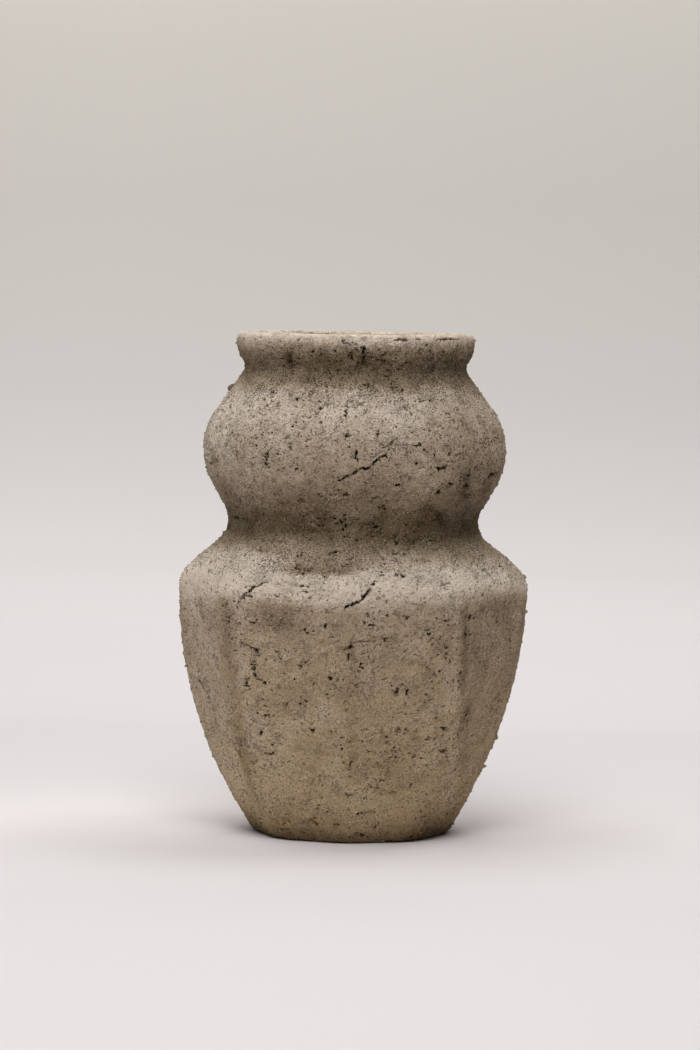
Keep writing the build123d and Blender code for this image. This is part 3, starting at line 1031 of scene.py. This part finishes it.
    def hit_fan(self, turn: float, core: tuple[float, float], lean: float) -> tuple[float, float]:
        """Finds where a line towards a core point of the wall meets the CAD coat.

        Args:
            turn: Angle from +X.
            core: Reach and height of the core point.
            lean: Angle of the line above the outward way, in radians.

        Returns:
            Reach and height of the place.
        """
        side = Vector((math.cos(turn), math.sin(turn), 0))
        target = side * core[0] + Vector((0, 0, core[1]))
        out = side * math.cos(lean) + Vector((0, 0, math.sin(lean)))
        place = self.face.hit(target + out * self.fan_reach, -out)
        if place is None or (place - target).length > self.fan_reach:
            place = target
        return place.dot(side), place.z

    def base_rings(self) -> np.ndarray:
        """Reads the CAD coat along all rows and columns.

        Returns:
            Places as rows, columns and X, Y, Z.
        """
        followed = np.arange(self.read_columns) * (2 * math.pi / self.read_columns)
        lines = []
        for lean in np.radians(np.linspace(-self.hem_turn, 0, self.hem_rows)):
            lines.append([self.hit_fan(turn, self.hem_core, lean) for turn in followed])
        for height in self.side_heights():
            lines.append([(self.hit_side(turn, height), height) for turn in followed])
        for lean in np.radians(np.linspace(0, self.lip_turn, self.lip_rows)):
            lines.append([self.hit_fan(turn, self.lip_core, lean) for turn in followed])
        flat = blurred(np.array(lines), round(self.corner_blur * self.read_columns / 360), 1, True)
        flat = blurred(flat, self.row_blur, 0, False)
        turns = np.arange(self.columns) * (2 * math.pi / self.columns)
        reach, height = (
            np.array([np.interp(turns, followed, line, period=2 * math.pi) for line in flat[..., part]])
            for part in (0, 1)
        )
        return turned(reach, height, turns)

    def relief(self, places: np.ndarray) -> np.ndarray:
        """Works out the mortar's lumps, trowel marks and roughness.

        Args:
            places: Places on the smooth skin.

        Returns:
            Heights out of the skin in metres.
        """
        heights = places[..., 2] / MM
        near_lip, on_lip = (
            np.clip((heights - low) / (high - low), 0, 1) for low, high in (self.near_lip, self.on_lip)
        )
        broad = sum(
            layer.at(places) * (full - (full - at_lip) * near_lip) for layer, (full, at_lip) in self.broad_layers
        )
        grains = np.maximum(0, self.grain_layer.at(places) - self.grain_least) * self.grain_height
        small = sum(layer.at(places) for layer in self.small_layers) + grains
        return (broad + small * (1 - self.lip_roughness_lost * on_lip)) * MM

    def crumbled(self, places: np.ndarray) -> np.ndarray:
        """Finds where the mortar has crumbled away in ragged little pits, more where it is darker with grime and
        painted shade.

        Args:
            places: Places on the smooth skin.

        Returns:
            Shares from 0, sound, to 1, a pit's floor.
        """
        ragged = sum(layer.at(places) for layer in self.crumble_layers)
        crowd = self.crumble_crowd.at(places) - self.wear_and_shade * self.crumble_spared
        return np.clip((ragged + crowd - self.crumble_from) / self.crumble_over, 0, 1)

    def side_of(self, places: np.ndarray) -> np.ndarray:
        """Works out how far round from the camera's side places lie, wavering a little.

        Args:
            places: Places on the smooth skin.

        Returns:
            Degrees from -180 to 180, more than 0 on the right.
        """
        side = np.degrees(np.arctan2(places[..., 0], -places[..., 1])) - self.camera.azimuth
        return (side + self.side_waver.at(places) + 180) % 360 - 180

    def grit_at(self, places: np.ndarray) -> np.ndarray:
        """Works out how strongly the mortar is peppered with dark specks.

        Args:
            places: Places on the smooth skin.

        Returns:
            Strengths, 1 where the peppering is plain.
        """
        heights = places[..., 2] / MM + self.grit_waver.at(places)
        by_height = np.interp(heights, *zip(*self.grit_by_height))
        return by_height * np.interp(np.abs(self.side_of(places)), *zip(*self.grit_by_side))

    def wear_and_shade_at(self, places: np.ndarray) -> np.ndarray:
        """Works out the mortar's wear and stains together with painted light and shade, from the photograph's bands
        of tone.

        Args:
            places: Places on the smooth skin.

        Returns:
            Values about 0, dark with grime and painted shade, to 1, pale with wear and painted light.
        """
        heights = places[..., 2] / MM + self.tone_waver.at(places)
        tone = np.interp(heights, *zip(*self.painted_light_by_height))
        tone = tone * np.interp(self.side_of(places), *zip(*self.painted_light_by_side))
        return (tone - self.darkest) / (self.palest - self.darkest)

    def frame_at(self, row: int, column: int) -> tuple[np.ndarray, np.ndarray, np.ndarray]:
        """Gives a place on the skin with its across and up ways.

        Args:
            row: Row of the place.
            column: Column of the place.

        Returns:
            The place, the level way along the skin and the way up along it.
        """
        place = self.places[row, column]
        square = self.squares[row, column]
        across = np.array([-square[1], square[0], 0.0])
        length = np.linalg.norm(across)
        across = across / length if length > 1e-6 else np.array([1.0, 0.0, 0.0])
        return place, across, np.cross(square, across)

    def press(self, row: int, column: int, dent: Dent, mask: np.ndarray | None = None) -> None:
        """Presses one dent into the skin, or raises it where its depth is negative.

        Args:
            row: Row of its middle.
            column: Column of its middle.
            dent: Its sizes.
            mask: Mask that its stain goes to; the mask of painted shade in hollows if not given.
        """
        place, across, up = self.frame_at(row, column)
        reach = max(dent.length, dent.width) * self.dent_margin * MM
        rows = math.ceil(reach / self.row_pitch[row]) + 1
        columns = math.ceil(reach / self.column_pitch[row]) + 1
        row_index = np.arange(max(0, row - rows), min(len(self.places), row + rows + 1))
        column_index = np.arange(column - columns, column + columns + 1) % self.columns
        window = np.ix_(row_index, column_index)
        apart = self.places[window] - place
        turn = math.radians(dent.lean)
        along = apart @ (across * math.cos(turn) + up * math.sin(turn))
        side = apart @ (up * math.cos(turn) - across * math.sin(turn))
        far = np.hypot(along / (dent.length * MM / 2), side / (dent.width * MM / 2))
        far = far * (1 + self.dent_raggedness * self.ragged[window])
        share = np.clip((1 - far) / dent.edge, 0, 1)
        share = share * share * (3 - 2 * share)
        self.sunk[window] = np.minimum(self.sunk[window], -dent.depth * MM * share) if dent.depth > 0 else (
            self.sunk[window] - dent.depth * MM * share
        )
        # A dent's stain paints shade in the hollow mask, unless it marks the clay of a chip.
        target = self.hollow_shade if mask is None else mask
        target[window] = np.maximum(target[window], dent.stain * share)

    def nearest(self, place: Vector) -> tuple[int, int]:
        """Finds the row and column of the skin nearest to a place.

        Args:
            place: The place.

        Returns:
            Row and column.
        """
        turn = math.atan2(place.y, place.x) % (2 * math.pi)
        column = round(turn / (2 * math.pi) * self.columns) % self.columns
        line = self.places[:, column] - np.array(place)
        return int(np.argmin(np.einsum("ij,ij->i", line, line))), column

    def press_pixel(self, pixel: tuple[float, float], dent: Dent, mask: np.ndarray | None = None) -> None:
        """Presses one dent where a pixel of the photograph shows the skin."""
        self.press(*self.nearest(self.face.seen_at(self.camera, pixel)), dent, mask)

    def press_tears(self) -> None:
        """Presses the crumbly tears that the photograph shows, each as a crowd of pits."""
        for tear in SEEN_TEARS:
            for _ in range(tear.pits):
                apart = self.random.normal(0, 0.5, 2) * (tear.wide, tear.high)
                pit = Dent(
                    length=self.random.uniform(1.2, 2.8),
                    width=self.random.uniform(0.8, 1.45),
                    depth=self.random.uniform(0.9, 2.0),
                    lean=self.random.normal(0, 45),
                    stain=self.random.uniform(0.9, 1.0),
                )
                self.press_pixel((tear.x + apart[0], tear.y + apart[1]), pit)

    def press_cracks(self) -> None:
        """Presses the cracks that the photograph shows, each as a wavering line of dents."""
        for crack in CRACKS:
            for start, end in zip(np.array(crack.pixels), np.array(crack.pixels[1:])):
                lean = math.degrees(math.atan2(start[1] - end[1], end[0] - start[0]))
                for share in np.arange(0, 1, 0.7 / math.dist(start, end)):
                    pixel = start + (end - start) * share + self.random.normal(0, 0.45, 2)
                    size = self.random.uniform(0.6, 1.25)
                    dent = Dent(
                        length=2.2 * size,
                        width=crack.width * size,
                        depth=crack.depth * size,
                        lean=lean,
                        stain=min(1.0, 0.45 + 0.4 * crack.depth),
                        edge=0.6,
                    )
                    self.press_pixel(pixel, dent)

    def press_chips(self) -> None:
        """Chips the mortar along the lip down to the clay where the photograph shows it."""
        for start, end in CHIP_RUNS:
            for across in np.arange(start, end, 1.1):
                pixel = (across, CHIP_LINE + self.random.normal(0, 0.35))
                chip = Dent(
                    length=self.random.uniform(1.4, 2.4),
                    width=self.random.uniform(0.8, 1.4),
                    depth=0.7,
                    lean=self.random.normal(0, 20),
                    stain=1.0,
                )
                self.press_pixel(pixel, chip, self.chip)

    def shade_seen(self) -> None:
        """Paints the mortar lighter or darker where the photograph shows it, partly as wear and stains, partly as
        painted light and shade.
        """
        ragged = 1 + self.shade_waver.at(self.places)
        for shade in SEEN_SHADES:
            spots = np.array([self.face.seen_at(self.camera, pixel) for pixel in shade.pixels])
            margin = shade.width * 2.5 * MM
            low, high = spots.min(axis=0) - margin, spots.max(axis=0) + margin
            window = np.all((self.places > low) & (self.places < high), axis=-1)
            near = self.places[window]
            far = np.full(len(near), np.inf)
            for start, end in zip(spots, spots[1:]):
                run = end - start
                share = np.clip((near - start) @ run / (run @ run), 0, 1)
                far = np.minimum(far, np.linalg.norm(near - start - share[:, None] * run, axis=-1))
            reach = shade.width * MM * ragged[window]
            self.wear_and_shade[window] += shade.change * np.exp(-((far / reach) ** 2))

    def press_random(self) -> None:
        """Presses many small pits and tears all over, more in some patches than in others."""
        patches = sum(layer.at(self.places) for layer in self.pit_layers)
        patches += 0.2 - 0.4 * self.wear_and_shade + 0.5 * self.grit_at(self.places)
        low = self.hem_rows
        high = self.hem_rows + self.side_rows
        made = 0
        while made < self.random_pits:
            row = int(self.random.integers(low, high))
            column = int(self.random.integers(0, self.columns))
            if self.random.random() > patches[row, column] * self.column_pitch[row] / self.column_pitch.max():
                continue
            size = min(self.random.lognormal(-0.1, 0.45), self.pit_biggest)
            pit = Dent(
                length=1.5 * size,
                width=0.95 * size ** 0.6,
                depth=0.7 * size ** 0.5,
                lean=self.random.normal(0, 35),
                stain=self.random.uniform(0.4, 1.0),
                edge=0.7,
            )
            self.press(row, column, pit)
            made += 1

    def build(self) -> bpy.types.Object:
        """Makes the skin.

        Returns:
            The skin's mesh object.
        """
        smooth = self.base_rings()
        self.places = smooth
        self.squares = grid_normals(smooth)
        if np.einsum("ijk,ijk->ij", self.squares[..., :2], smooth[..., :2]).mean() < 0:
            self.squares = -self.squares
        self.row_pitch = np.maximum(np.linalg.norm(np.gradient(smooth, axis=0), axis=-1).mean(axis=1), 0.1 * MM)
        self.column_pitch = np.linalg.norm(smooth - np.roll(smooth, 1, axis=1), axis=-1).mean(axis=1)
        self.ragged = self.dent_waver.at(smooth)
        self.wear_and_shade = self.wear_and_shade_at(smooth)
        self.hollow_shade, self.chip, self.sunk = (np.zeros(smooth.shape[:2]) for _ in range(3))
        self.shade_seen()
        for pixel in LUMP_PIXELS:
            self.press_pixel(pixel, LUMP)
        self.press_tears()
        self.press_cracks()
        self.press_chips()
        self.press_random()
        crumbled = self.crumbled(smooth)
        out = self.relief(smooth) + self.sunk - crumbled * self.crumble_depth
        # Painted shade in recesses: the further the skin lies below its blurred self, the darker.
        cavity = blurred(blurred(out, 3, 0, False), 3, 1, True) - out
        least, most = self.hollow_span
        rows = np.arange(len(smooth))
        # A painted contact shadow along the foot's lowest edge, darkest at the table.
        foot_shadow = np.clip(self.foot_shadow_height - smooth[..., 2] / MM, 0, 1) * (rows < len(smooth) // 2)[:, None]
        for stain in (crumbled * self.crumble_shade, np.clip(cavity / self.hollow_step - least, 0, most), foot_shadow):
            self.hollow_shade = np.maximum(self.hollow_shade, stain)
        out *= np.clip(np.minimum(rows, rows[::-1]) / self.still_rows, 0, 1)[:, None]
        rough = smooth + self.squares * out[..., None]
        rough[..., 2] = np.maximum(rough[..., 2], self.table_gap)
        self.places = rough
        skin = grid_mesh("coat_skin", rough)
        masks = {"wear_and_shade": self.wear_and_shade, "grit": self.grit_at(smooth), "hollow_shade": self.hollow_shade, "chip": self.chip}
        for name, values in masks.items():
            set_mask(skin.data, name, values)
        return skin

    def build_sand(self) -> bpy.types.Object:
        """Makes the small grains that stand out of the mortar.

        Returns:
            All the grains as one mesh object.
        """
        low = self.hem_rows
        rows = self.random.integers(low, low + self.side_rows, self.sand_grains * 2)
        keep = self.random.random(len(rows)) < self.column_pitch[rows] / self.column_pitch.max()
        rows = rows[keep][: self.sand_grains]
        columns = self.random.integers(0, self.columns, len(rows))
        centres = self.places[rows, columns] + self.squares[rows, columns] * self.sand_lift
        usual, least, most = self.sand_radius
        radii = np.clip(self.random.lognormal(math.log(usual), 0.35, len(rows)), least, most) * MM
        # Sand grains are paler where the mortar is pale with wear and painted light.
        tones = np.clip(self.wear_and_shade[rows, columns] * 1.2, 0, 1) * self.random.uniform(0.3, 1.0, len(rows))
        return Stones(self.random).build("coat_sand", centres, radii, tones)

    def dress(self) -> None:
        """Builds the skin and its sand and gives them their finishes."""
        seat(self.build(), MortarFinish().build(), Slot.COAT, Node.COAT)
        seat(self.build_sand(), GrainFinish("coat sand").build(), Slot.COAT)


@dataclass
class Stones:
    """Makes small broken stones."""

    random: np.random.Generator
    raggedness: float = 0.28
    stretch: Span = (0.75, 1.25)

    def solid(self) -> tuple[np.ndarray, np.ndarray]:
        """Gives the corners and faces of a body with twenty sides.

        Returns:
            Unit corners and the faces' corner numbers.
        """
        golden = (1 + math.sqrt(5)) / 2
        corners = []
        for first in (-1, 1):
            for second in (-golden, golden):
                corners += [(0, first, second), (first, second, 0), (second, 0, first)]
        points = np.array(corners, dtype=float)
        points /= np.linalg.norm(points[0])
        edge = min(np.linalg.norm(points[0] - other) for other in points[1:]) * 1.01
        faces = []
        for a, b, c in combinations(range(len(points)), 3):
            trio = points[[a, b, c]]
            if np.linalg.norm(trio - np.roll(trio, 1, axis=0), axis=1).max() < edge:
                outward = np.dot(np.cross(trio[1] - trio[0], trio[2] - trio[0]), trio.sum(axis=0)) > 0
                faces.append((a, b, c) if outward else (a, c, b))
        return points, np.array(faces)

    def build(self, name: str, centres: np.ndarray, radii: np.ndarray, tones: np.ndarray) -> bpy.types.Object:
        """Makes stones at places, each with its own shape and tone.

        Args:
            name: The new object's name.
            centres: Middle of each stone.
            radii: Radius of each stone.
            tones: Tone of each stone, from 0, brown, to 1, pale.

        Returns:
            All the stones as one mesh object.
        """
        points, faces = self.solid()
        count, corners = len(centres), len(points)
        ragged = 1 + self.random.uniform(-self.raggedness, self.raggedness, (count, corners, 1))
        stretch = self.random.uniform(*self.stretch, (count, 1, 3))
        spots = centres[:, None, :] + points[None] * ragged * stretch * radii[:, None, None]
        all_faces = (faces[None] + (np.arange(count) * corners)[:, None, None]).reshape(-1, 3)
        thing = smooth_mesh(name, spots, all_faces)
        set_mask(thing.data, "tone", np.repeat(tones, corners))
        return thing


@dataclass
class SeatedGrains:
    """The coarse grit and the crumb, each a broken stone where the CAD has its grain."""

    node: Node
    slot: Slot
    finish: GrainFinish
    swell: float = 1.05
    ragged: float = 0.3
    lump_size: float = 0.4
    chip_size: float = 0.16
    chip_height: float = 0.16
    tones: Span = (0.15, 0.95)
    cuts: int = 4
    seed: int = 5

    def islands(self) -> Iterable[tuple[Vector, Vector]]:
        """Finds the grains of the CAD node.

        Yields:
            The middle and the size of each grain.
        """
        grains = bmesh.new()
        grains.from_mesh(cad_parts[self.node.value].data)
        bmesh.ops.remove_doubles(grains, verts=grains.verts, dist=0.01 * MM)
        left = set(grains.verts)
        for start in grains.verts:
            if start not in left:
                continue
            left.remove(start)
            group = [start]
            for vertex in group:
                for edge in vertex.link_edges:
                    other = edge.other_vert(vertex)
                    if other in left:
                        left.remove(other)
                        group.append(other)
            spots = np.array([vertex.co for vertex in group])
            low, high = spots.min(axis=0), spots.max(axis=0)
            yield Vector((low + high) / 2), Vector(high - low)
        grains.free()

    def build(self) -> bpy.types.Object:
        """Makes the stones.

        Returns:
            All of them as one mesh object.
        """
        noise = SolidNoise(self.seed)
        stones = bmesh.new()
        tones = []
        random = np.random.default_rng(self.seed)
        for middle, size in self.islands():
            made = bmesh.ops.create_icosphere(stones, subdivisions=self.cuts, radius=0.5)["verts"]
            spots = np.array([vertex.co for vertex in made])
            lumps = noise.at(spots + random.uniform(0, 9, 3), self.lump_size) * self.ragged
            lumps += noise.at(spots + 3, self.chip_size) * self.chip_height
            chipped = spots * (1 + lumps[:, None])
            for vertex, spot in zip(made, chipped):
                vertex.co = Vector(spot * np.array(size) * self.swell) + middle
            tones += [random.uniform(*self.tones)] * len(made)
        mesh = bpy.data.meshes.new(self.node.value + "_stones")
        stones.to_mesh(mesh)
        stones.free()
        set_mask(mesh, "tone", np.array(tones))
        return add_object(mesh.name, mesh)

    def dress(self) -> None:
        """Builds the stones and gives them their finish."""
        seat(self.build(), self.finish.build(), self.slot, self.node)


@dataclass
class InnerLining:
    """The smooth cream skin of the inside, turned out over the inner part of the lip."""

    columns: int = 288
    wall_rows: int = 130
    floor_rows: int = 40
    land_reach: float = 64.0 * MM
    land_height: float = 298.0 * MM
    land_low: float = 297.15 * MM
    wall_high: float = 296.6 * MM
    wall_low: float = 45.0 * MM
    land_foot: float = 0.3 * MM
    land_rows: int = 5
    round_over: float = 1.1 * MM
    round_span: Span = (20.0, 90.0)
    floor_lean: float = 89.5
    corner_blur: int = 5
    waves: tuple[Layer, ...] = (Layer(21, 14, 0.25), Layer(22, 4, 0.075))
    wave_deepest: float = 0.1

    def build(self) -> bpy.types.Object:
        """Makes the skin from the lip's land down to the middle of the floor.

        Returns:
            The skin's mesh object.
        """
        face = SolidFace(Node.LINING)
        turns = np.arange(self.columns) * (2 * math.pi / self.columns)
        sides = [Vector((math.cos(turn), math.sin(turn), 0)) for turn in turns]
        lines = []
        core = Vector((0, 0, self.wall_low))
        for height in np.linspace(self.wall_high, self.wall_low, self.wall_rows):
            start = Vector((0, 0, height))
            lines.append([((face.hit(start, side) - start).length, height) for side in sides])
        for lean in np.radians(np.linspace(0, self.floor_lean, self.floor_rows))[1:]:
            row = []
            for side in sides:
                place = face.hit(core, side * math.cos(lean) - Vector((0, 0, math.sin(lean))))
                row.append((place.dot(side), place.z))
            lines.append(row)
        wall = blurred(np.array(lines), self.corner_blur, 1, True)
        top = wall[0, :, 0]
        edge = self.land_reach - self.land_foot
        level = np.ones_like(top)
        over = [np.stack([level * self.land_reach, level * self.land_low], axis=-1)]
        for share in np.linspace(0, 1, self.land_rows):
            reach = edge + (top + self.round_over - edge) * share
            over.append(np.stack([reach, level * self.land_height], axis=-1))
        for lean in np.radians(np.linspace(*self.round_span, self.land_rows)):
            reach = top + self.round_over * (1 - math.sin(lean))
            height = self.land_height - self.round_over * (1 - math.cos(lean))
            over.append(np.stack([reach, level * height], axis=-1))
        flat = np.concatenate([np.array(over), wall])
        places = turned(flat[..., 0], flat[..., 1], turns)
        squares = grid_normals(places)
        middle = slice(len(over), self.wall_rows)
        if np.einsum("ijk,ijk->ij", squares[middle, :, :2], places[middle, :, :2]).mean() > 0:
            squares = -squares
        wave = np.maximum(sum(layer.at(places) for layer in self.waves), -self.wave_deepest) * MM
        return grid_mesh("lining_skin", places + squares * wave[..., None])

    def dress(self) -> None:
        """Builds the skin and gives it its glaze."""
        seat(self.build(), GlazeFinish().build(), Slot.LINING, Node.LINING)


@dataclass
class ClayPot:
    """The terracotta pot, whose CAD mesh is kept."""

    finish: ClayFinish = field(default_factory=ClayFinish)

    def dress(self) -> None:
        """Gives the CAD pot its clay."""
        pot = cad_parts[Node.CLAY.value]
        pot.data.materials.clear()
        pot.data.materials.append(self.finish.build())
        log.info("%s: %d faces", pot.name, len(pot.data.polygons))


@dataclass
class Stage:
    """The seamless pale floor and backdrop."""

    front: float = -16.0
    bend_start: float = 2.2
    bend_radius: float = 2.0
    top: float = 5.0
    half_width: float = 16.0
    rows: int = 24
    tones: Table = (
        (-0.7, 0.715), (-0.45, 0.70), (-0.28, 0.683), (-0.12, 0.732), (0.0, 0.772), (0.1, 0.741), (0.25, 0.696),
        (0.45, 0.705), (0.62, 0.732), (1.1, 0.705), (5.2, 0.705),
    )
    glow: Table = (
        (0.55, 0.0), (0.84, 0.083), (1.1, 0.155), (1.4, 0.235), (1.75, 0.33), (2.03, 0.39), (2.39, 0.437),
        (2.76, 0.42), (3.2, 0.388), (3.88, 0.393), (4.31, 0.443), (4.47, 0.469), (5.2, 0.5),
    )
    paper: tuple[float, float, float] = (1.02, 0.965, 0.96)
    paper_high: tuple[float, float, float] = (1.02, 0.965, 0.885)
    high_from: float = 2.8
    high_over: float = 0.8
    fade_across: float = 0.05
    fade_reach: float = 0.5
    unlit_front: float = 0.15

    def build(self) -> bpy.types.Object:
        """Makes the sweep.

        Returns:
            The sweep's mesh object.
        """
        outline = [(self.front, 0.0), (self.bend_start, 0.0)]
        for step in range(1, self.rows + 1):
            turn = math.pi / 2 * step / self.rows
            outline.append((
                self.bend_start + self.bend_radius * math.sin(turn), self.bend_radius * (1 - math.cos(turn)),
            ))
        outline.append((self.bend_start + self.bend_radius, self.top))
        places = np.array([[(x, y, z) for x in (self.half_width, -self.half_width)] for y, z in outline])
        return grid_mesh("sweep", places, close_rows=False)

    def ramp(self, nodes: NodeTree, run: Socket, levels: Table) -> Socket:
        """Makes the paper's colour change with the run along the sweep.

        Args:
            nodes: The material's helper.
            run: Distance back plus height.
            levels: Runs and the light level of the paper there.

        Returns:
            The socket that puts out the colour.
        """
        first, last = levels[0][0], levels[-1][0]
        node = nodes.add("ShaderNodeValToRGB", {0: nodes.span(run, first, last)})
        while len(node.color_ramp.elements) < len(levels):
            node.color_ramp.elements.new(0.5)
        for element, (spot, level) in zip(node.color_ramp.elements, levels):
            element.position = (spot - first) / (last - first)
            high = min(max((spot - self.high_from) / self.high_over, 0), 1)
            element.color = (
                *(level * (low_part + (high_part - low_part) * high)
                  for low_part, high_part in zip(self.paper, self.paper_high)), 1.0,
            )
        return node.outputs[0]

    def dress(self) -> None:
        """Builds the sweep with its even paper."""
        sweep = self.build()
        material, nodes, shader = new_material("sweep paper")
        place = nodes.add("ShaderNodeSeparateXYZ", {0: nodes.place()})
        run = nodes.math("ADD", place.outputs["Y"], place.outputs["Z"])
        aside = nodes.math("ABSOLUTE", place.outputs["X"], 0.0)
        ahead = nodes.math("SUBTRACT", nodes.math("MULTIPLY", place.outputs["Y"], -1.0), self.unlit_front)
        far = nodes.math("MAXIMUM", nodes.math("MAXIMUM", run, aside), ahead)
        fade = 1 + self.fade_across, 1 - self.fade_across
        across = nodes.span(place.outputs["X"], -self.fade_reach, self.fade_reach, *fade)
        nodes.put(shader, {
            "Base Color": self.ramp(nodes, run, self.tones),
            "Emission Color": self.ramp(nodes, far, self.glow),
            "Emission Strength": nodes.math("MULTIPLY", nodes.shown(), across),
            "Roughness": 1.0,
            "Specular IOR Level": 0.0,
        })
        sweep.data.materials.append(material)


@dataclass(frozen=True)
class Lamp:
    """One soft box of the studio, placed by its angles as seen from the vase."""

    name: str
    azimuth: float
    elevation: float
    power: float


@dataclass
class SoftLight:
    """Wide soft boxes above the vase, and a room that is only seen and hardly lights."""

    lamps: tuple[Lamp, ...] = (
        Lamp("front", 0, 52, 26.9),
        Lamp("front_left", -60, 60, 9.5),
        Lamp("low_left", -70, 30, 2.5),
        Lamp("low_right", 70, 30, 1.8),
        Lamp("back", 180, 60, 11.8),
        Lamp("back_left", -120, 60, 12.9),
        Lamp("back_right", 120, 60, 16.4),
    )
    size: float = 1.1
    distance: float = 2.3
    target: tuple[float, float, float] = (0.0, 0.0, 0.15)
    room_seen: float = 0.6
    room_colour: Colour = srgb(238, 232, 230)

    def build_lamp(self, lamp: Lamp) -> None:
        """Makes one soft box.

        Args:
            lamp: Its place and power.
        """
        turn, lift = math.radians(lamp.azimuth), math.radians(lamp.elevation)
        way = Vector((math.cos(lift) * math.sin(turn), -math.cos(lift) * math.cos(turn), math.sin(lift)))
        data = bpy.data.lights.new(lamp.name, "AREA")
        data.shape = "SQUARE"
        data.size = self.size
        data.energy = lamp.power
        thing = bpy.data.objects.new(lamp.name, data)
        thing.location = Vector(self.target) + way * self.distance
        thing.rotation_euler = (-way).to_track_quat("-Z", "Y").to_euler()
        bpy.context.scene.collection.objects.link(thing)

    def build(self) -> None:
        """Makes the soft boxes and the room."""
        for lamp in self.lamps:
            self.build_lamp(lamp)
        world = bpy.data.worlds.new("room")
        world.use_nodes = True
        nodes = NodeTree(world.node_tree)
        background = next(node for node in world.node_tree.nodes if node.type == "BACKGROUND")
        strength = nodes.math("MULTIPLY", nodes.shown(), self.room_seen)
        nodes.put(background, {"Color": self.room_colour, "Strength": strength})
        bpy.context.scene.world = world
        bpy.context.scene.view_settings.view_transform = "Standard"


def main() -> None:
    """Builds and dresses the vase, then sets up the camera, floor and light."""
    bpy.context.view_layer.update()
    camera = PhotoCamera()
    camera.build()
    SharedGroups().build()
    StoneCoat(camera).dress()
    InnerLining().dress()
    ClayPot().dress()
    SeatedGrains(Node.GRIT, Slot.GRIT, GrainFinish()).dress()
    crumb_finish = GrainFinish("crumb mortar", light=srgb(158, 142, 122), brown=srgb(84, 70, 54))
    SeatedGrains(Node.CRUMB, Slot.CRUMB, crumb_finish, swell=0.76, ragged=0.6).dress()
    Stage().dress()
    SoftLight().build()


if __name__ == "__main__":
    main()
